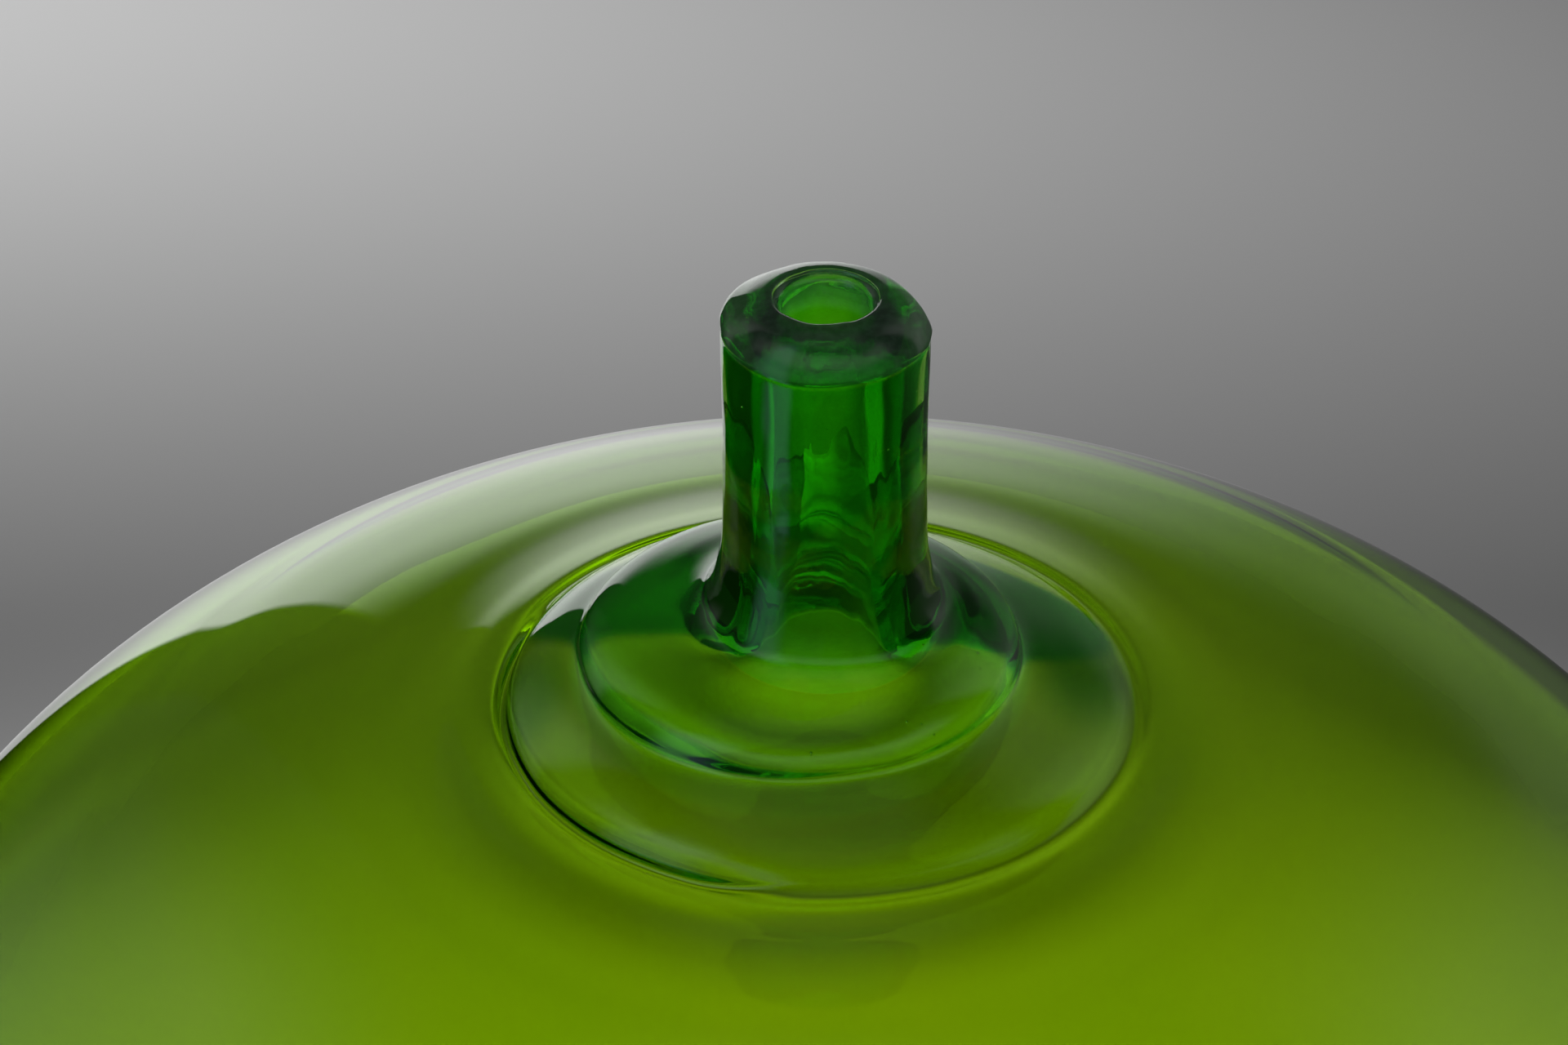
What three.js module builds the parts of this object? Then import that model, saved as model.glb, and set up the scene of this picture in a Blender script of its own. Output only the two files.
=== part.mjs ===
import * as THREE from "three";

// Green cased-glass vase: a blown globe whose small thick neck stands in a shallow dimple, like a stem.
// Millimetres, +Z up, origin on the floor under the middle of the foot.
// Every outline is a list of (radius, height) points turned about the Z axis.

// Globe
const GLOBE_DIAMETER = 350;
const GLOBE_HEIGHT = 312.5; // floor to where the crown would close if there were no neck
const CROWN_HEIGHT = 146; // the part of that height above the widest girth
const CROWN_SQUARENESS = 2.3; // 2 is a plain ellipse, more is a flatter crown
const CASING_WALL = 2.4; // clear outer glass
const LINING_WALL = 1.2; // coloured inner glass
const BASE_WALL = 9; // clear glass that settled at the bottom

// Foot
const FOOT_DIAMETER = 104;
const FOOT_RING_WIDTH = 9; // the flat ground ring that touches the floor
const PUNT_DEPTH = 4; // the polished hollow inside that ring

// Neck
const NECK_HEIGHT = 62.5; // the mouth above the crown
const NECK_DIAMETER = 29;
const BORE_DIAMETER = 13.2;
const CORE_WALL = 1.7; // coloured glass around the bore
const FLARE_WIDTH = 1.9; // how much the neck widens at its foot
const FLARE_LENGTH = 9;

// Lip
const LIP_HEIGHT = 5.3; // the dome, from the mouth down to its cut edge
const COUNTERSINK_WIDTH = 0.6; // the ground bevel of the mouth
const COUNTERSINK_DEPTH = 1.7;

// Collar: the domed disc that the neck stands on
const COLLAR_WIDTH = 15.3; // from the foot of the neck to the collar's edge
const COLLAR_TOP_RISE = 14.3; // the foot of the neck above the crown
const COLLAR_EDGE_RISE = 4.1; // the collar's edge above the crown
const COLLAR_FULLNESS = 1.4; // 1 is a plain cone, more is a fuller dome
const COLLAR_STEP = 1.5; // from the collar's edge down to the skirt

// Skirt: the globe's own glass around the collar, a second low dome with a groove and a crest around it
const SKIRT_WIDTH = 12.6;
const SKIRT_DROP = 6.3;
const SKIRT_FULLNESS = 1.5;
const GROOVE_WIDTH = 1.3; // from the skirt's edge to the bottom of the groove
const GROOVE_DEPTH = 1.9;
const CREST_WIDTH = 1.7; // from the bottom of the groove to the crest
const CREST_RISE = 0.9;
const SHOULDER_WIDTH = 14.7; // from the crest to the middle of the sunken shoulder
const SHOULDER_SINK = 2; // the shoulder there below the plain crown
const FADE_WIDTH = 30; // from there to where the plain crown starts

// Hollow
const TRUMPET_WIDTH = 45; // how much the bore widens on its way to the globe's ceiling
const TRUMPET_LENGTH = 31;
const CORE_SPREAD = 6.4; // how much of that width the core covers
const CEILING_DROP = 10.9; // the end of the trumpet below the crown
const CEILING_SLOPE = 0.1; // how steeply the trumpet still falls there
const SHOULDER_WALL = 4.7; // height of the whole glass at the shoulder
const CORNER_BLEND = 7; // softness of the hollow's corner at the bottom

// Colours
const CLEAR = 0xdfe9c4;
const EMERALD = 0x0d6b1c;
const APPLE = 0x86ad1d;

const FUSED_GAP = 0.3; // clearance between faces that are fused on the real vase
const SEGMENTS = 36; // facets round the axis

const globeRadius = GLOBE_DIAMETER / 2;
const girthHeight = GLOBE_HEIGHT - CROWN_HEIGHT;
const mouthHeight = GLOBE_HEIGHT + NECK_HEIGHT;
const neckRadius = NECK_DIAMETER / 2;
const boreRadius = BORE_DIAMETER / 2;
const mouthRadius = boreRadius + COUNTERSINK_WIDTH;
const footRadius = FOOT_DIAMETER / 2;
const neckFootRadius = neckRadius + FLARE_WIDTH;
const neckFootHeight = GLOBE_HEIGHT + COLLAR_TOP_RISE;
const collarRadius = neckFootRadius + COLLAR_WIDTH;
const collarEdgeHeight = GLOBE_HEIGHT + COLLAR_EDGE_RISE;
const skirtRadius = collarRadius + SKIRT_WIDTH;
const skirtHeight = collarEdgeHeight - COLLAR_STEP - SKIRT_DROP;
const grooveRadius = skirtRadius + GROOVE_WIDTH;
const grooveHeight = skirtHeight - GROOVE_DEPTH;
const crestRadius = grooveRadius + CREST_WIDTH;
const shoulderRadius = crestRadius + SHOULDER_WIDTH;
const fadeRadius = shoulderRadius + FADE_WIDTH;
const plainRadius = fadeRadius + FADE_WIDTH * 0.4; // the crown's own points start here
const trumpetRadius = boreRadius + TRUMPET_WIDTH;
const coreEndRadius = boreRadius + CORE_SPREAD;
const ceilingHeight = GLOBE_HEIGHT - CEILING_DROP;
const globeWall = CASING_WALL + FUSED_GAP + LINING_WALL;

const point = (radius, height) => new THREE.Vector2(radius, height);
const mix = THREE.MathUtils.lerp;

// The points of a curve, for shares of its length from 0 to 1.
const curve = (steps, pointAt) => Array.from({ length: steps + 1 }, (_, i) => pointAt(i / steps));

// Height of the crown at a radius, on a surface that lies inset mm inside the outer one.
function crownHeightAt(radius, inset) {
  const share = Math.min(1, radius / (globeRadius - inset));
  const rise = (1 - share ** CROWN_SQUARENESS) ** (1 / CROWN_SQUARENESS);
  return girthHeight + (CROWN_HEIGHT - inset) * rise;
}

// The crown from a radius out to the girth.
function crown(fromRadius, inset, steps) {
  const reach = globeRadius - inset;
  const start = Math.asin((fromRadius / reach) ** (CROWN_SQUARENESS / 2));
  return curve(steps, (share) => {
    const radius = reach * Math.sin(mix(start, Math.PI / 2, share)) ** (2 / CROWN_SQUARENESS);
    return point(radius, crownHeightAt(radius, inset));
  });
}

// The lower half, an ellipse from the girth in to a radius, on a surface that lies inset mm inside.
function bowl(toRadius, inset, steps) {
  const reach = globeRadius - inset;
  const end = Math.asin(toRadius / reach);
  const depth = girthHeight / Math.sqrt(1 - (footRadius / globeRadius) ** 2) - inset;
  return curve(steps, (share) => {
    const angle = mix(Math.PI / 2, end, share);
    return point(reach * Math.sin(angle), girthHeight - depth * Math.cos(angle));
  });
}

// The higher of two heights, with a soft change between them.
const softHigher = (a, b) => (a + b + Math.hypot(a - b, CORNER_BLEND)) / 2;

// A smooth line from a starting point over the shoulder and on into the plain crown, on a surface inset mm
// inside; depth is how far that surface lies below the outer one at the shoulder.
function overShoulder(start, depth, inset) {
  const shoulderHeight = crownHeightAt(shoulderRadius, 0) - SHOULDER_SINK - depth;
  const onCrown = [fadeRadius, plainRadius].map((radius) => point(radius, crownHeightAt(radius, inset)));
  return new THREE.SplineCurve([start, point(shoulderRadius, shoulderHeight), ...onCrown]).getPoints(9);
}

// The hollow's wall: down the bore, along the trumpet, under the shoulder and round to the middle of the bottom.
function hollowWall() {
  const trumpet = curve(16, (share) => {
    const angle = (share * Math.PI) / 2;
    const radius = boreRadius + TRUMPET_WIDTH * (1 - Math.cos(angle));
    const slope = CEILING_SLOPE * (trumpetRadius - radius);
    return point(radius, ceilingHeight + TRUMPET_LENGTH * (1 - Math.sin(angle)) + slope);
  });
  const shoulder = overShoulder(trumpet.at(-1), SHOULDER_WALL, globeWall).slice(1);
  const globe = [...crown(plainRadius, globeWall, 10).slice(1), ...bowl(footRadius / 2, globeWall, 12).slice(1)];
  const bottomHeight = PUNT_DEPTH + BASE_WALL + LINING_WALL;
  const sides = globe.map((p) => point(p.x, softHigher(bottomHeight, p.y)));
  return [point(boreRadius, mouthHeight), ...trumpet, ...shoulder, ...sides, point(0, sides.at(-1).y)];
}

// The same wall moved a distance into the glass.
function intoGlass(wall, distance) {
  return wall.map((here, i) => {
    const before = wall[Math.max(0, i - 1)];
    const after = wall[Math.min(wall.length - 1, i + 1)];
    const along = after.clone().sub(before).normalize();
    return point(here.x - along.y * distance, here.y + along.x * distance);
  });
}

// Splits a wall in two where it passes a radius ("x") or a height ("y"); both halves get the new point.
function splitAt(wall, axis, value) {
  const next = wall.findIndex((p, i) => i > 0 && (wall[i - 1][axis] - value) * (p[axis] - value) <= 0);
  const before = wall[next - 1];
  const share = (value - before[axis]) / (wall[next][axis] - before[axis]);
  const between = before.clone().lerp(wall[next], share);
  return [[...wall.slice(0, next), between], [between, ...wall.slice(next)]];
}

// Turns a closed outline, or one that starts and ends on the axis, into a named solid.
function turned(name, outline, color) {
  const facesOut = THREE.ShapeUtils.area(outline) > 0;
  const geometry = new THREE.LatheGeometry(facesOut ? outline : outline.toReversed(), SEGMENTS);
  geometry.rotateX(Math.PI / 2);
  const glass = new THREE.MeshStandardMaterial({ color, roughness: 0.04, metalness: 0 });
  const mesh = new THREE.Mesh(geometry, glass);
  mesh.name = name;
  return mesh;
}

const closed = (outline) => [...outline, outline[0].clone()];

// The core and the lining meet end to end on the trumpet, whose wall falls at about 50 degrees there.
const [neckHollow, pastCore] = splitAt(hollowWall(), "x", coreEndRadius);
const globeHollow = splitAt(pastCore, "x", coreEndRadius + FUSED_GAP * 0.65)[1];
const neckFront = intoGlass(neckHollow, CORE_WALL + FUSED_GAP);
const globeFront = intoGlass(globeHollow, LINING_WALL + FUSED_GAP);
const lipHeight = mouthHeight - LIP_HEIGHT;
const [inLip, belowLip] = splitAt(neckFront, "y", lipHeight);
const inNeck = splitAt(splitAt(belowLip, "y", lipHeight - FUSED_GAP)[1], "y", neckFootHeight)[0];
const inCollar = splitAt(belowLip, "y", neckFootHeight - FUSED_GAP)[1];
const [underCollar, pastCollar] = splitAt(globeFront, "x", collarRadius);
const underCasing = splitAt(pastCollar, "x", collarRadius + FUSED_GAP)[1];

// Coloured glass around the bore, from the bevelled mouth down to the upper part of the trumpet.
function neckCore() {
  const bevel = [point(mouthRadius, mouthHeight), point(boreRadius, mouthHeight - COUNTERSINK_DEPTH)];
  const back = intoGlass(neckHollow, CORE_WALL);
  return turned("neck_core", closed([...bevel, ...neckHollow.slice(1), ...back.toReversed()]), EMERALD);
}

// Coloured glass on the inside of the globe.
function globeLining() {
  const back = intoGlass(globeHollow, LINING_WALL);
  return turned("globe_lining", [...globeHollow.toReversed(), ...back], APPLE);
}

// The dome over the end of the neck.
function lipRing() {
  const dome = curve(6, (share) => {
    return point(mix(inLip[0].x, neckRadius, share), mouthHeight - LIP_HEIGHT * share ** 2);
  });
  return turned("lip_ring", [...dome, ...inLip.toReversed()], EMERALD);
}

// Thick clear glass around the core, widening at its foot.
function neckCasing() {
  const side = curve(6, (share) => {
    return point(neckRadius + FLARE_WIDTH * share ** 2, neckFootHeight + FLARE_LENGTH * (1 - share));
  });
  const top = point(neckRadius, lipHeight - FUSED_GAP);
  return turned("neck_casing", closed([top, ...side, ...inNeck.toReversed()]), CLEAR);
}

// The domed disc at the foot of the neck.
function neckCollar() {
  const dome = curve(7, (share) => {
    const height = mix(neckFootHeight - FUSED_GAP, collarEdgeHeight, share ** COLLAR_FULLNESS);
    return point(mix(neckFootRadius, collarRadius, share), height);
  });
  const underside = [...inCollar, ...underCollar.slice(1)];
  return turned("neck_collar", closed([...dome, ...underside.toReversed()]), CLEAR);
}

// Clear outer glass of the globe: the skirt, its groove and crest, the crown, the bowl and the foot.
function globeCasing() {
  const skirt = curve(7, (share) => {
    const height = mix(collarEdgeHeight - COLLAR_STEP, skirtHeight, share ** SKIRT_FULLNESS);
    return point(mix(collarRadius + FUSED_GAP, skirtRadius, share), height);
  });
  const crest = point(crestRadius, grooveHeight + CREST_RISE);
  const top = [...skirt, point(grooveRadius, grooveHeight), ...overShoulder(crest, 0, 0)];
  const ringRadius = footRadius - FOOT_RING_WIDTH;
  const foot = [point(ringRadius, 0), point(ringRadius - FOOT_RING_WIDTH, PUNT_DEPTH), point(0, PUNT_DEPTH)];
  const globe = [...crown(plainRadius, 0, 10).slice(1), ...bowl(footRadius, 0, 10).slice(1)];
  const outside = [...top, ...globe, ...foot];
  return turned("globe_casing", [...underCasing.toReversed(), ...outside], CLEAR);
}

const vase = new THREE.Group();
vase.add(globeCasing(), globeLining(), neckCollar(), neckCasing(), neckCore(), lipRing());
export default vase;
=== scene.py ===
import bmesh
import bpy
import math
import random
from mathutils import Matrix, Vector, noise


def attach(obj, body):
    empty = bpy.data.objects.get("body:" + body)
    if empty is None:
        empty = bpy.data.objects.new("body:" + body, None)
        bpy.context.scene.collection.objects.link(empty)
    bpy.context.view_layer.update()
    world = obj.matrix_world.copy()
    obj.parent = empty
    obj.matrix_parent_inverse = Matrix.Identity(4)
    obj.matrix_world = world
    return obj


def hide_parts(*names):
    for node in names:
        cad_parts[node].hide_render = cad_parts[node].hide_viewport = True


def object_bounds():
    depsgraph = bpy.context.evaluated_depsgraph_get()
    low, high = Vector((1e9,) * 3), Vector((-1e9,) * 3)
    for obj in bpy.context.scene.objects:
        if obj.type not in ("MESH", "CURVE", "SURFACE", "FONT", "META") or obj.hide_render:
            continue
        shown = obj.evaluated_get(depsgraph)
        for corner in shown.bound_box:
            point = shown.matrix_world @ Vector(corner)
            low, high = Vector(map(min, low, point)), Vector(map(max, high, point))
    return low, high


# A green blown-glass vase: a big globe with a small thick neck standing in a dimple.
# Metres, in the CAD's own frame: origin on the floor under the foot, +Z up.

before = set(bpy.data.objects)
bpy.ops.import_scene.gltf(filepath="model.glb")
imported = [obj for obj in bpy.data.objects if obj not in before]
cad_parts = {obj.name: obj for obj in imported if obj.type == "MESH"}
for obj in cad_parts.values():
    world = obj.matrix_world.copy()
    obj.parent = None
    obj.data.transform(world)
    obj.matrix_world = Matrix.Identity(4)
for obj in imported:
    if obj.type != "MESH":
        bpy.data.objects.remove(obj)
cadLow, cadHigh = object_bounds()
mm = 0.001
tiny = 1e-6  # a radius smaller than this lies on the axis
mouthHeight = cadHigh.z
globeRadius = cadHigh.x
print("frame loaded, mouth at", round(mouthHeight, 4))


# Shader maths as plain Python

class Value:
    # a number socket that takes part in sums
    def __init__(self, finish, socket):
        self.finish = finish
        self.socket = socket

    def maths(self, operation, *items):
        return self.finish.node("ShaderNodeMath", {"operation": operation}, dict(enumerate(items)))

    def __add__(self, other):
        return self.maths("ADD", self, other)

    __radd__ = __add__

    def __mul__(self, other):
        return self.maths("MULTIPLY", self, other)

    __rmul__ = __mul__

    def __sub__(self, other):
        return self.maths("SUBTRACT", self, other)

    def __rsub__(self, other):
        return self.maths("SUBTRACT", other, self)

    def __truediv__(self, other):
        return self.maths("DIVIDE", self, other)

    def __pow__(self, other):
        return self.maths("POWER", self, other)

    def rise(self, low, high, bottom=0.0, top=1.0):  # smooth step from bottom to top
        return self.finish.node("ShaderNodeMapRange", {"interpolation_type": "SMOOTHSTEP"},
                                {0: self, 1: low, 2: high, 3: bottom, 4: top})

    def within(self, low, high):
        return self.maths("MINIMUM", self.maths("MAXIMUM", self, low), high)

    def output(self, name):  # another output of the same node
        return Value(self.finish, self.socket.node.outputs[name])


class Finish:
    # the nodes of one material, or of the world
    def __init__(self, owner):
        owner.use_nodes = True
        self.tree = owner.node_tree

    def plug(self, socket, item):
        if isinstance(item, Value):
            self.tree.links.new(item.socket, socket)
        else:
            socket.default_value = item

    def node(self, kind, settings=None, sockets=None, out=0):
        made = self.tree.nodes.new(kind)
        for name, setting in (settings or {}).items():
            setattr(made, name, setting)
        for name, item in (sockets or {}).items():
            self.plug(made.inputs[name], item)
        return Value(self, made.outputs[out])

    def set(self, name, sockets):  # sockets of a node that is there from the start
        for socket, item in sockets.items():
            self.plug(self.tree.nodes[name].inputs[socket], item)

    def mixColour(self, share, first, second):
        return self.node("ShaderNodeMix", {"data_type": "RGBA"}, {0: share, 6: first, 7: second}, 2)

    def joined(self, red, green, blue):
        return self.node("ShaderNodeCombineColor", None, {0: red, 1: green, 2: blue})

    def grain(self, vector, scale, detail, stretch=(1, 1, 1)):  # noise from 0 to 1
        laid = self.node("ShaderNodeMapping", None, {"Vector": vector, "Scale": stretch})
        return self.node("ShaderNodeTexNoise", None, {"Vector": laid, "Scale": scale, "Detail": detail})

    def parts(self, vector):  # x, y and z
        split = self.node("ShaderNodeSeparateXYZ", None, {0: vector})
        return [split.output(i) for i in range(3)]


# Outlines are lists of (radius, height)

steps = {  # how finely each outline is cut
    "lip": 5,
    "side": 6,
    "throat": 5,
    "crown": 44,
    "bowl": 40,
    "innerCrown": 46,
    "innerBowl": 50,
    "round": 180,
}


def spline(points, count):
    out = []
    last = len(points) - 1
    for i in range(last):
        before, here = points[max(i - 1, 0)], points[i]
        there, after = points[i + 1], points[min(i + 2, last)]
        for k in range(count):
            t = k / count
            out.append(tuple(
                0.5 * (2 * b + (c - a) * t + (2 * a - 5 * b + 4 * c - d) * t * t
                       + (3 * b - a - 3 * c + d) * t ** 3)
                for a, b, c, d in zip(before, here, there, after)))
    out.append(points[-1])
    return out


def below(points):  # millimetres from the mouth to metres from the floor
    return [(r * mm, mouthHeight + z * mm) for r, z in points]


def between(low, high, value):  # smooth step
    t = min(1, max(0, (value - low) / (high - low)))
    return t * t * (3 - 2 * t)


def zone(value, rising, falling):  # 0 outside, 1 from the end of rising to the start of falling
    return between(*rising, value) * (1 - between(*falling, value))


globe = {
    "crownTop": mouthHeight - 62.5 * mm,  # where the crown would close without the neck
    "girth": mouthHeight - 208.5 * mm,  # height of the widest place
    "squareness": 2.3,  # 2 is a plain ellipse
    "fade": 100 * mm,  # radius where the shoulder has become the plain crown
    "pastFade": 1.1,  # the crown's own outline starts at this many times that radius
    "footRadius": 52 * mm,
    "footRing": 9 * mm,
    "footSlope": 6 * mm,
    "punt": 4 * mm,
    "wall": 3.9 * mm,
    "base": 14 * mm,  # height of the inside bottom
    "baseMiddle": 4 * mm,
    "blend": 7 * mm,  # rounding between the inside wall and bottom
}


def crownHeight(radius, inset=0.0):
    share = min(1.0, radius / (globeRadius - inset))
    n = globe["squareness"]
    return globe["girth"] + (globe["crownTop"] - globe["girth"] - inset) * (1 - share ** n) ** (1 / n)


def crown(inset, count):
    n = globe["squareness"]
    reach = globeRadius - inset
    start = math.asin((globe["fade"] * globe["pastFade"] / reach) ** (n / 2))
    out = []
    for i in range(count + 1):
        angle = start + (math.pi / 2 - start) * i / count
        radius = reach * math.sin(angle) ** (2 / n)
        out.append((radius, crownHeight(radius, inset)))
    return out


def bowl(toRadius, inset, count):
    reach = globeRadius - inset
    end = math.asin(toRadius / reach)
    depth = globe["girth"] / math.sqrt(1 - (globe["footRadius"] / globeRadius) ** 2) - inset
    out = []
    for i in range(1, count + 1):
        angle = math.pi / 2 + (end - math.pi / 2) * i / count
        out.append((reach * math.sin(angle), globe["girth"] - depth * math.cos(angle)))
    return out


def softHigher(a, b):
    return (a + b + math.hypot(a - b, globe["blend"])) / 2


neck = {  # radius and height from the mouth, in millimetres
    "mouth": [(7.2, -0.5), (6.15, -1.9)],
    "lip": [(7.2, -0.5), (7.5, -0.05), (8.6, 0.0), (11.2, -1.0), (13.3, -3.0), (14.4, -5.0)],
    "lipEdge": [(14.5, -5.3), (14.42, -5.55)],
    "stem": [(14.38, -6.2), (14.3, -14), (14.28, -24), (14.32, -32), (14.6, -39), (15.3, -43.5)],
    "collar": [
        (16.2, -47.0), (17.6, -49.3), (20, -50.6), (24, -51.7), (27.6, -53.0), (30.1, -54.6), (31.5, -56.4),
    ],
    "skirt": [(32.1, -57.8), (33.2, -58.7), (36.5, -60.3), (40.5, -62.5), (43, -64.2)],
    "ring": [(44.4, -66.1), (45, -67.8), (45.7, -68.1), (46.4, -67.6), (47.3, -67.15), (48.8, -67.2)],
    "ringClosed": [
        (44.4, -65.4), (45, -65.95), (45.7, -66.5), (46.4, -66.9), (47.3, -67.05), (48.8, -66.95),
    ],
    "shoulder": [
        (51.5, -67.65), (56, -69.0), (62, -70.4), (69, -71.7), (76, -73.3), (84, -75.52), (92, -78.23),
    ],
    "throat": [
        (6.25, -5), (6.4, -24), (6.7, -38), (7.1, -46), (8.2, -52.5), (10.4, -57.8), (14, -61.6),
        (19, -64.2),
    ],
    "ceiling": [
        (25, -66.3), (31, -68.1), (37, -69.8), (42, -71.3), (46.5, -72.2), (51, -72.9), (57, -73.7),
        (63, -74.6), (70, -75.8), (77, -77.5), (84, -79.6), (92, -82.5),
    ],
}


def rim():  # the lip's dome, down to its sharp edge
    return spline(below(neck["lip"]), steps["lip"])[:-1] + below(neck["lipEdge"])


def crownStart(inset=0.0):  # the two points where an outline joins the plain crown
    fade = globe["fade"]
    return [(r, crownHeight(r, inset)) for r in (fade, fade * globe["pastFade"])]


def side(ring="ring"):  # the stem, the collar, the dimple and the shoulder
    points = below(neck["stem"] + neck["collar"] + neck["skirt"] + neck[ring] + neck["shoulder"])
    return spline(points + crownStart(), steps["side"])


def outside(ring="ring"):
    body = crown(0, steps["crown"])[1:] + bowl(globe["footRadius"], 0, steps["bowl"])
    inset, punt = globe["footRadius"] - globe["footRing"], globe["punt"]
    foot = [(inset, 0.0), (inset - globe["footSlope"], punt * 0.8), (inset * 0.5, punt), (0.0, punt)]
    return rim() + side(ring) + body + foot


def hollow():  # from the mouth down the bore, under the shoulder and round to the middle of the base
    wall = globe["wall"]
    throat = spline(below(neck["throat"] + neck["ceiling"]) + crownStart(wall), steps["throat"])
    out = below(neck["mouth"]) + throat + crown(wall, steps["innerCrown"])[1:]
    for r, z in bowl(globe["baseMiddle"], wall, steps["innerBowl"]):
        out.append((r, softHigher(globe["base"], z)))
    out.append((0.0, out[-1][1]))
    return out


def offset(outline, amounts):  # moves each point square to the outline, to its right
    out = []
    for i, (r, z) in enumerate(outline):
        before, after = outline[max(i - 1, 0)], outline[min(i + 1, len(outline) - 1)]
        dr, dz = after[0] - before[0], after[1] - before[1]
        length = math.hypot(dr, dz)
        out.append((max(0.0, r + dz / length * amounts[i]), z - dr / length * amounts[i]))
    return out


# What makes the turned shape hand-made. The lip's heights and deep are in millimetres from the mouth.

warp = {
    "lipTilt": 0.65 * mm,
    "lipDroop": 0.7 * mm,
    "droopAt": math.radians(-115),
    "lipFoot": (-11, -5.4),
    "lipTop": (-4.6, 0),
    "lipRadii": (9 * mm, 13.5 * mm),
    "deep": (-95, -75),  # nothing below this is shifted
    "collarShift": -3.4 * mm,
    "collarStart": (17 * mm, 30 * mm),
    "collarEnd": (34 * mm, 47 * mm),
    "ringShift": -1.0 * mm,
    "ringStart": (30 * mm, 44 * mm),
    "ringEnd": (47 * mm, 75 * mm),
    "globeShift": 1.4 * mm,
    "globeStart": (60 * mm, 110 * mm),
    "globeEnd": (165 * mm, 175 * mm),
    "grooveAt": math.radians(208),  # the ring's groove is open here and closes up on both sides
    "grooveEnds": (0.5, 0.76),  # cosines of the angles from there where it is shut, and still open
    "wave": 0.2 * mm,  # slow unevenness of the neck
    "waveShape": (2, 14, 0),
    "fineWave": 0.09 * mm,
    "fineShape": (4, 6, 40),
    "waveStart": (2 * mm, 8 * mm),
    "waveEnd": (60 * mm, 90 * mm),
}


def uneven(angle, height, turns, rise, start):
    return noise.noise(Vector((turns * math.cos(angle), turns * math.sin(angle), height / rise + start)))


def warped(x, y, z):
    r, a, h = math.hypot(x, y), math.atan2(y, x), (z - mouthHeight) / mm
    drop = -warp["lipTilt"] * math.cos(a) - warp["lipDroop"] * math.cos(2 * (a - warp["droopAt"]))
    z += drop * (zone(h, warp["lipFoot"], warp["lipTop"]) * between(*warp["lipRadii"], r))
    deep = between(*warp["deep"], h)
    atCollar = zone(r, warp["collarStart"], warp["collarEnd"]) * deep
    atRing = zone(r, warp["ringStart"], warp["ringEnd"]) * deep
    atGlobe = zone(r, warp["globeStart"], warp["globeEnd"])
    x += warp["collarShift"] * atCollar + warp["ringShift"] * atRing + warp["globeShift"] * atGlobe
    if r > tiny:
        wave = warp["wave"] * uneven(a, h, *warp["waveShape"])
        wave += warp["fineWave"] * uneven(a, h, *warp["fineShape"])
        k = 1 + wave * (1 - between(*warp["waveEnd"], r)) * between(*warp["waveStart"], r) / r
        x, y = x * k, y * k
    return x, y, z


def turned(name, outline, segments=steps["round"], bend=True, closed=None):
    # closed is the outline of the side where the ring has no groove
    closed = closed or outline
    area = sum(a[0] * b[1] - b[0] * a[1] for a, b in zip(outline, outline[1:] + outline[:1]))
    if area > 0:  # faces point out of the glass
        outline, closed = outline[::-1], closed[::-1]
    verts, faces, rings = [], [], []
    for here, there in zip(outline, closed):
        count = 1 if here[0] < tiny else segments
        rings.append(range(len(verts), len(verts) + count))
        for k in range(count):
            angle = 2 * math.pi * k / segments
            share = between(*warp["grooveEnds"], math.cos(angle - warp["grooveAt"]))
            radius, height = (share * a + (1 - share) * b for a, b in zip(here, there))
            place = (radius * math.cos(angle), radius * math.sin(angle), height)
            verts.append(warped(*place) if bend else place)
    pairs = list(zip(rings, rings[1:]))
    if min(outline[0][0], outline[-1][0]) > tiny:
        pairs.append((rings[-1], rings[0]))
    for a, b in pairs:
        for k in range(segments):
            n = (k + 1) % segments
            if len(a) == 1:
                faces.append((a[0], b[k], b[n]))
            elif len(b) == 1:
                faces.append((a[k], b[0], a[n]))
            else:
                faces.append((a[k], b[k], b[n], a[n]))
    mesh = bpy.data.meshes.new(name)
    mesh.from_pydata(verts, [], faces)
    mesh.validate()
    mesh.shade_smooth()
    piece = bpy.data.objects.new(name, mesh)
    bpy.context.scene.collection.objects.link(piece)
    return piece


# Glass. A look's tint and streaks are the faint uneven cast on the surface. Its colour and density
# are the absorption inside, where a higher density is a deeper colour.

white = (1, 1, 1, 1)
black = (0, 0, 0, 1)
surface = {
    "streakDetail": 3.0,
    "streakRange": (0.35, 0.65),
    # painted sheen on the lip: the heights where its glow fades in, and the noise that breaks it up
    "sheenGlowHeights": (mouthHeight - 6 * mm, mouthHeight - 4.5 * mm),
    "sheenGlowScale": 900.0,
    "sheenGlowDetail": 3.0,
    "sheenGlowRange": (0.3, 0.75, 0.6),
}


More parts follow.
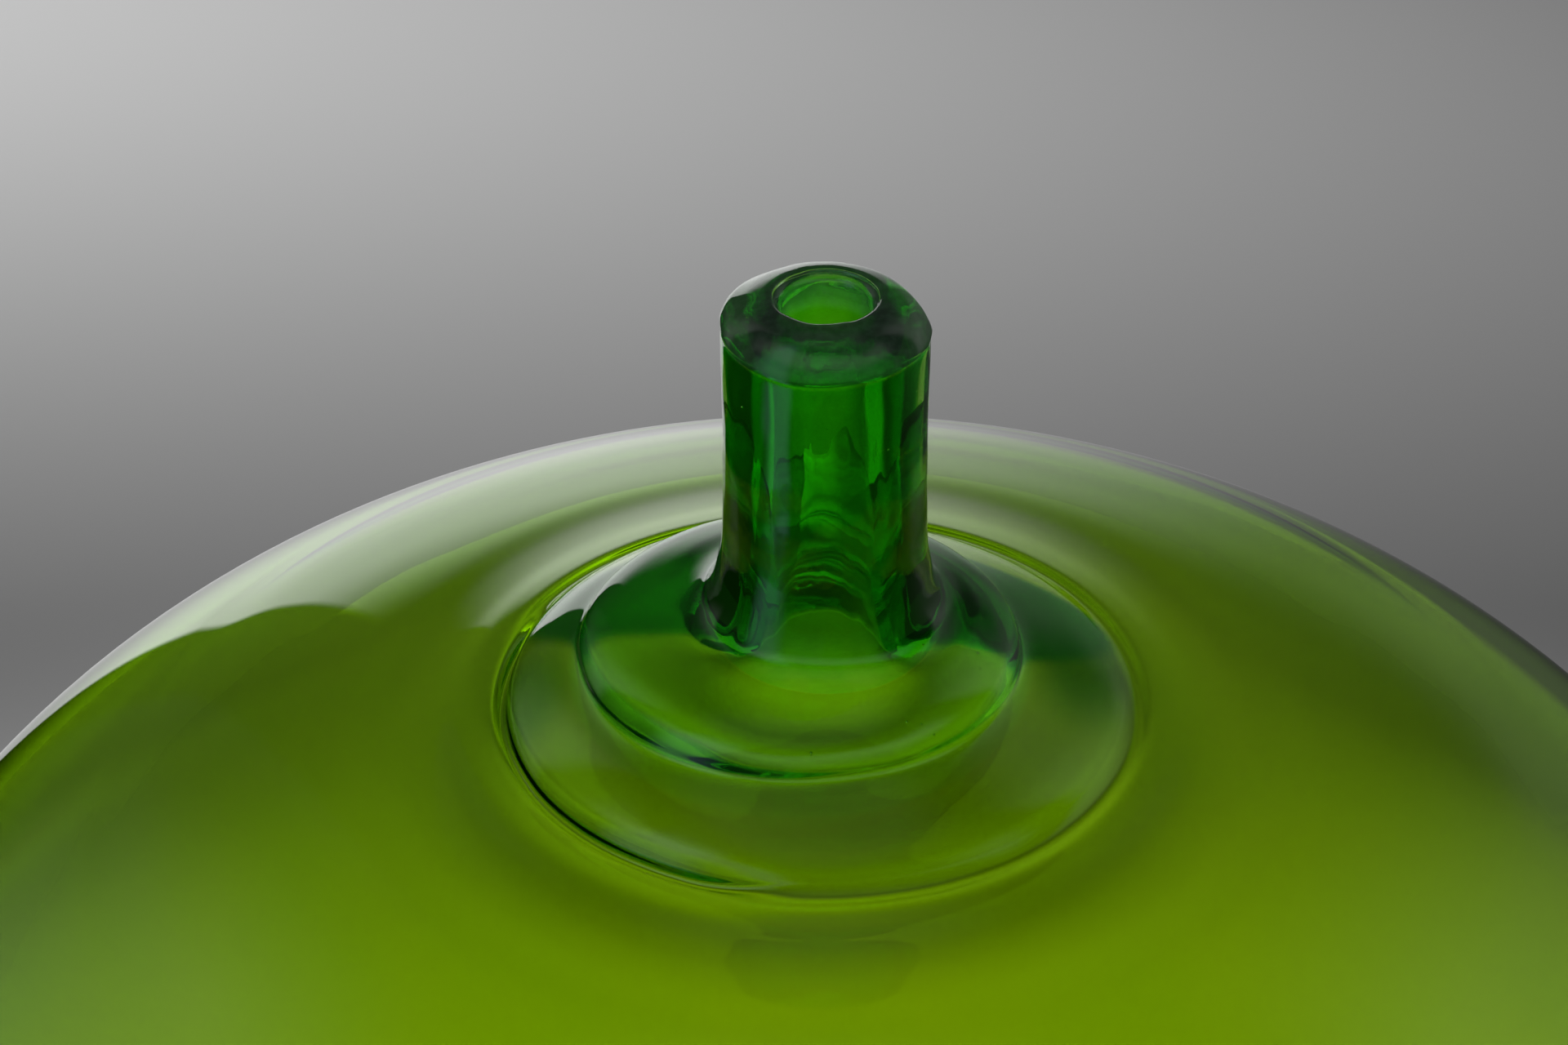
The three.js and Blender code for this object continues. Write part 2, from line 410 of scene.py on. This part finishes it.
def glass(name, look):
    material = bpy.data.materials.new(name)
    finish = Finish(material)
    place = finish.node("ShaderNodeTexCoord", out=3)
    streaks = finish.grain(place, look["streakScale"], surface["streakDetail"], look["streakStretch"])
    tint = finish.mixColour(streaks.rise(*surface["streakRange"]), white, (*look["tint"], 1))
    x, y, z = finish.parts(place)
    for paintedPool in look.get("paintedPools", []):  # painted shade and painted reflection: places where the colour is set deeper
        aside, ahead = (x - paintedPool["x"] * mm) / paintedPool["wide"], y - paintedPool["y"] * mm
        away = ((aside * aside + ahead * ahead) ** 0.5).rise(paintedPool["full"] * mm, paintedPool["end"] * mm)
        tint = finish.mixColour(away, (*paintedPool["colour"], 1), tint)
    finish.set("Principled BSDF", {
        "Base Color": tint,
        "Roughness": 0.0,
        "IOR": look["ior"],
        "Transmission Weight": 1.0,
    })
    if "sheenGlow" in look:  # painted sheen: a faint grey-green glow on the lip's top, broken up by noise, in place of its dull grey reflection
        grain = finish.grain(place, surface["sheenGlowScale"], surface["sheenGlowDetail"])
        sheenMask = z.rise(*surface["sheenGlowHeights"]) * grain.rise(*surface["sheenGlowRange"])
        paintedSheen = finish.mixColour(sheenMask, black, (*look["sheenGlow"], 1))
        finish.set("Principled BSDF", {"Emission Color": paintedSheen, "Emission Strength": 1.0})
    if "glow" in look:  # light scattered in the glass, where a ray would stay caught in it
        finish.set("Principled BSDF", {"Emission Color": (*look["glow"], 1), "Emission Strength": 1.0})
    absorb = finish.node("ShaderNodeVolumeAbsorption", None, {
        "Color": (*look["colour"], 1), "Density": look["density"]})
    finish.set("Material Output", {"Volume": absorb})
    return material


# The clear glass: the outer skin from lip to foot, and the skin of the hollow

clearLook = {
    "tint": (0.97, 0.99, 0.96),
    "streakScale": 30.0,
    "streakStretch": (1, 1, 0.3),
    "ior": 1.5,
    "colour": (0.72, 0.86, 0.30),
    "density": 30.0,
    # painted sheen: the colour of the glow on the lip's top
    "sheenGlow": (0.010, 0.018, 0.012),
}
seeds = {
    "draw": 7,
    "small": 0.07 * mm,
    "big": 0.2 * mm,
    "places": [  # how many, then radius and height from the mouth, in millimetres
        (26, 9.5, 13.4, -44, -8), (14, 14.5, 17.5, -55, -50.5), (12, 20, 28, -61, -56),
    ],
}


def addSeeds(piece):  # the tiny bubbles in the thick glass, as hollows with their faces turned inwards
    random.seed(seeds["draw"])
    shape = bmesh.new()
    shape.from_mesh(piece.data)
    for count, near, far, low, high in seeds["places"]:
        for i in range(count):
            angle = random.uniform(0, 2 * math.pi)
            reach = random.uniform(near, far) * mm
            height = mouthHeight + random.uniform(low, high) * mm
            size = random.uniform(seeds["small"], seeds["big"])
            ball = bmesh.ops.create_icosphere(shape, subdivisions=2, radius=size)["verts"]
            centre = Vector(warped(reach * math.cos(angle), reach * math.sin(angle), height))
            bmesh.ops.translate(shape, verts=ball, vec=centre)
            bmesh.ops.reverse_faces(shape, faces=list({face for vert in ball for face in vert.link_faces}))
    for face in shape.faces:
        face.smooth = True
    shape.to_mesh(piece.data)
    shape.free()


inner = hollow()
clear = turned("clear_glass", inner[::-1] + outside(), closed=inner[::-1] + outside("ringClosed"))
addSeeds(clear)
clear.data.materials.append(glass("clearGlass", clearLook))
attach(clear, "root")
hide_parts("globe_casing")
print("clear glass made")


# The green lining of the globe, thicker round the neck

gap = 0.05 * mm  # between a coloured layer and the skin of the hollow
liningLook = {
    "tint": (0.96, 0.99, 0.9),
    "streakScale": 14.0,
    "streakStretch": (1, 1, 0.4),
    "ior": 1.0,
    "colour": (0.85, 0.933, 0.04),
    "density": 2500.0,
    "thick": 1.2 * mm,
    "thickAtNeck": 1.6 * mm,
    "neckEnd": (34 * mm, 60 * mm),
    "neckHeights": (0.2, 0.29),
    "paintedPools": [  # centre, and radii where the painted patch is full and where it ends, in millimetres
        # painted shade on the skirt, right of the neck
        {"colour": (0.35, 0.62, 0.3), "x": 36, "y": 6, "wide": 0.6, "full": 4, "end": 18},
        # painted shade on the skirt, left of the neck
        {"colour": (0.5, 0.7, 0.4), "x": -41, "y": -2, "wide": 0.6, "full": 4, "end": 14},
        # painted internal reflection: deep emerald round the back of the stem's foot
        {"colour": (0.05, 0.45, 0.05), "x": 0, "y": 15.5, "wide": 2.6, "full": 15, "end": 16.6},
    ],
}
coreEnd = 12.5 * mm  # radius where the core meets the lining
front = offset(inner, [-gap] * len(inner))
seam = next(i for i, (r, z) in enumerate(front) if r > coreEnd)
liningFront = [(front[seam][0] + gap, front[seam][1])] + front[seam + 1:]
liningAmounts = []
for r, z in liningFront:
    nearNeck = (1 - between(*liningLook["neckEnd"], r)) * between(*liningLook["neckHeights"], z)
    liningAmounts.append(liningLook["thick"] + (liningLook["thickAtNeck"] - liningLook["thick"]) * nearNeck)
liningBack = offset(liningFront, [-a for a in liningAmounts])
lining = turned("green_lining", liningFront[::-1] + liningBack)
lining.data.materials.append(glass("appleGreen", liningLook))
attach(lining, "root")
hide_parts("globe_lining")
print("lining made")


# The emerald core round the bore, thinning out along the trumpet

coreLook = {
    "tint": (0.8, 0.95, 0.8),
    "streakScale": 160.0,
    "streakStretch": (1, 1, 0.04),
    "ior": 1.0,
    "colour": (0.62, 0.93, 0.03),
    "density": 2250.0,
    "thick": 1.7 * mm,
    "thickAtEnd": 0.7 * mm,
    "thinFrom": 7.1 * mm,
    "flare": 1.2 * mm,  # more glass at the mouth
    "flareHeights": (mouthHeight - 11 * mm, mouthHeight - 3 * mm),
}
coreFront = front[1:seam + 1]
coreAmounts = []
for r, z in coreFront:
    thinning = between(coreLook["thinFrom"], coreEnd, r)
    thick = coreLook["thick"] + (coreLook["thickAtEnd"] - coreLook["thick"]) * thinning
    coreAmounts.append(thick + coreLook["flare"] * between(*coreLook["flareHeights"], z))
coreBack = offset(coreFront, [-a for a in coreAmounts])
core = turned("emerald_core", coreFront + coreBack[::-1])
core.data.materials.append(glass("emerald", coreLook))
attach(core, "root")
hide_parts("neck_core")
print("core made")


# The glass between the outer skin and the coloured layers: lip, neck and collar, each with its own
# cast. A look's foot, top and reach bound its piece, in millimetres from the mouth and from the axis.

skinGap = 0.08 * mm
skin = offset(rim() + side(), [skinGap] * len(rim() + side()))
behindColour = offset(coreFront, [-(a + skinGap) for a in coreAmounts])
behindColour += offset(liningFront, [-(a + skinGap) for a in liningAmounts])[2:]


def filling(name, node, look):
    bottom, top = mouthHeight + look["foot"] * mm, mouthHeight + look["top"] * mm
    outer = [(r, z) for r, z in skin if bottom < z < top and r < look["reach"] * mm]
    back = [(r, z) for r, z in behindColour if bottom < z < top and r < outer[-1][0]]
    piece = turned(name, outer + back[::-1])
    piece.data.materials.append(glass(name.replace("_", ""), look))
    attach(piece, "root")
    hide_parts(node)
    print(name, "made")


lipLook = {
    "tint": (0.9, 0.95, 0.9),
    "streakScale": 60.0,
    "streakStretch": (1, 1, 0.3),
    "ior": 1.0,
    "colour": (0.25, 0.8, 0.3),
    "density": 50.0,
    "foot": -5.45,
    "top": 1,
    "reach": 20,
}
neckLook = {
    "tint": (0.97, 0.97, 0.85),
    "streakScale": 120.0,
    "streakStretch": (1, 1, 0.05),
    "ior": 1.0,
    "colour": (0.5, 0.9, 0.05),
    "density": 90.0,
    "glow": (0.0006, 0.004, 0.0002),
    "foot": -48.1,
    "top": -5.6,
    "reach": 20,
}
collarLook = {
    "tint": (0.95, 0.99, 0.9),
    "streakScale": 40.0,
    "streakStretch": (1, 1, 0.3),
    "ior": 1.0,
    "colour": (0.35, 0.85, 0.1),
    "density": 40.0,
    "glow": (0.0003, 0.003, 0.0003),
    "foot": -75,
    "top": -48.2,
    "reach": 31.6,
}
filling("lip_glass", "lip_ring", lipLook)
filling("neck_glass", "neck_casing", neckLook)
filling("collar_glass", "neck_collar", collarLook)


# The studio. Where a ray that has touched no dull surface looks out, it sees the dark room with
# its lit backdrop and side panels; the dull floor is lit by plain soft light.

studio = {
    "light": 1.0,
    "keyFrom": (-0.62, 0.35, 0.70),
    "key": (0.35, 1.0, 0.0, 1.6),
    "fill": 0.45,
    "backdrop": 1.5,
    "overhead": 1.0,
    "dim": 0.04,
    "hood": 0.35,
    "zenith": 0.1,
    "softbox": (0.29, 0.43, 0.56),
}

# Where each panel of the room begins and ends, as two angles, with its brightness there if it isn't
# 0 and 1. Across and Turn are degrees to the right of the photograph's forward, the rest degrees up.

panels = {
    "degrees": 57.2958,  # in a radian
    "backdropEdge": (-24.4, -23.6),
    "edgeLean": 0.19,  # the edge leans to the right with height
    "edgeLift": 4,
    "backdropAcross": (-9, 19, 1.0, 0.07),
    "backdropFoot": (-28, -8, 0.4, 1.0),
    "backdropTop": (6, 20, 1.0, 0.0),
    "backdropEnd": (60, 100),
    "wallFoot": (-20, 10),
    "wallTop": (34, 62),
    "leftStart": (-74, -64),
    "leftAcross": (-62, -34, 0.36, 0.02),
    "leftEnd": (-31, -29.5),
    "rightAcross": (28, 62, 0.03, 0.34),
    "rightEnd": (64, 74),
    "softboxStart": (-146, -130),
    "softboxEnd": (-119, -101),
    "softboxFoot": (-60, -30),
    "softboxTop": (45, 68),
    "overhead": (5, 50),
    "hoodTurn": (80, 105),
    "hoodFoot": (20, 40),
    "hoodTop": (42, 56),
    "zenith": (60, 76),
}


def studioGlow(finish, x, y, z, inGlass):
    turn = x.maths("ARCTAN2", x, y) * panels["degrees"]
    climb = z.maths("ARCTAN2", z, (x * x + y * y) ** 0.5) * panels["degrees"]

    def across(name):
        return turn.rise(*panels[name])

    def up(name):
        return climb.rise(*panels[name])

    lifted = climb + panels["edgeLift"]
    edge = turn - lifted.maths("MAXIMUM", lifted, 0.0) * panels["edgeLean"]
    sheet = edge.rise(*panels["backdropEdge"]) * across("backdropAcross") * up("backdropTop")
    sheet = sheet * up("backdropFoot") * studio["backdrop"] * (1 - across("backdropEnd"))
    wall = up("wallFoot") * (1 - up("wallTop"))
    left = across("leftAcross") * (1 - across("leftEnd")) * across("leftStart")
    right = across("rightAcross") * (1 - across("rightEnd"))
    overhead = (up("overhead") * studio["overhead"] + studio["dim"]) * inGlass
    hood = turn.maths("ABSOLUTE", turn).rise(*panels["hoodTurn"]) * up("hoodFoot")
    hood = hood * (1 - up("hoodTop")) * studio["hood"]
    zenith = up("zenith") * studio["zenith"]
    light = sheet + (left + right) * wall + overhead + (zenith + hood) * (1 - inGlass)
    softbox = (1 - across("softboxEnd")) * across("softboxStart")
    softbox = softbox * up("softboxFoot") * (1 - up("softboxTop"))
    return finish.joined(*(light + softbox * tone for tone in studio["softbox"]))


def lookingOut(finish):
    # 1 for a mirror or glass ray that has met no dull surface, and 1 if it left glass last
    path = finish.node("ShaderNodeLightPath")
    glossy, through = path.output("Is Glossy Ray"), path.output("Is Transmission Ray")
    clean = 1 - path.output("Diffuse Depth").rise(0.0, 1.0)
    return glossy.maths("MAXIMUM", glossy, through) * clean, through


world = bpy.data.worlds.new("studio")
bpy.context.scene.world = world
sky = Finish(world)
x, y, z = sky.parts(sky.node("ShaderNodeTexCoord"))
seen, inGlass = lookingOut(sky)
keyX, keyY, keyZ = studio["keyFrom"]
key = ((x * keyX) + (y * keyY) + (z * keyZ)).rise(*studio["key"])
plain = (key + studio["fill"]) * studio["light"]
even = sky.joined(plain, plain, plain)
glow = studioGlow(sky, x, y, z, inGlass)
sky.set("Background", {"Color": sky.mixColour(seen, even, glow), "Strength": 1.0})
print("room made")


# The floor, pale all round. Behind the vase it has the photograph's shading, the exponent of a curve
# in metres to the back and to the side.

ground = {
    "drop": 0.3 * mm,  # under the foot
    "radii": (0.0, 0.5, 1.5, 3.5),
    "curl": 1.0,
    "curlSteps": 16,
    "round": 96,
    "pale": 0.45,
    "roughness": 0.9,
    "back": (0.4, 0.9),  # the shading stays the same beyond these
    "side": (-0.6, 0.6),
    "start": 5.56,
    "byBack": 10.612,
    "byBackTwice": 6.184,
    "bySide": 0.064,
    "bySideTwice": 1.22,
    "byBoth": 1.721,
    "shadeSquash": 0.5,
    "shadeRound": (0.04, 0.25),
    "shadeStart": (0.1, 0.38),
    "shadeSides": (0.2, 0.7),
    "shadeEnd": (1.0, 1.5),
}
cove = [(r, -ground["drop"]) for r in ground["radii"]]
for i in range(1, ground["curlSteps"] + 1):
    a = i / ground["curlSteps"] * math.pi / 2
    curl = ground["curl"]
    cove.append((ground["radii"][-1] + curl * math.sin(a), curl * (1 - math.cos(a))))
floor = turned("studio_floor", cove, ground["round"], False)
floorMaterial = bpy.data.materials.new("studioGrey")
paint = Finish(floorMaterial)
x, y, z = paint.parts(paint.node("ShaderNodeNewGeometry"))
back, aside = y.within(*ground["back"]), x.within(*ground["side"])
slope = (back * ground["byBack"] - back * back * ground["byBackTwice"] - aside * ground["bySide"]
         - aside * aside * ground["bySideTwice"] - aside * back * ground["byBoth"] - ground["start"])
shaded = slope.maths("EXPONENT", slope) / studio["light"]
behind = (x * x * ground["shadeSquash"] + y * y).rise(*ground["shadeRound"]) * y.rise(*ground["shadeStart"])
behind = behind * (1 - (x * x).rise(*ground["shadeSides"])) * (1 - y.rise(*ground["shadeEnd"]))
tone = shaded * behind + (1 - behind) * ground["pale"]
paint.set("Principled BSDF", {
    "Base Color": paint.joined(tone, tone, tone),
    "Roughness": ground["roughness"],
    "Specular IOR Level": 0.0,
})
floor.data.materials.append(floorMaterial)
floor.visible_glossy = False  # mirror rays see the room by direction instead
print("floor made")


# The photograph's angle

view = {
    "lens": 85,
    "sensor": 36,
    "nearest": 0.01,
    "before": 434.96 * mm,
    "aboveMouth": 250.11 * mm,
    "down": 33.41,  # degrees
    "turn": 0.749,
}
camera = bpy.data.cameras.new("camera")
camera.lens = view["lens"]
camera.sensor_width = view["sensor"]
camera.clip_start = view["nearest"]
cameraObject = bpy.data.objects.new("camera", camera)
cameraObject.location = (0, -view["before"], mouthHeight + view["aboveMouth"])
cameraObject.rotation_euler = (math.radians(90 - view["down"]), 0, math.radians(view["turn"]))
bpy.context.scene.collection.objects.link(cameraObject)
bpy.context.scene.camera = cameraObject

bounces = 64  # light goes through many walls before it leaves the vase
cycles = bpy.context.scene.cycles
cycles.max_bounces = bounces
cycles.transmission_bounces = bounces
cycles.transparent_max_bounces = bounces
bpy.context.scene.view_settings.view_transform = "Standard"
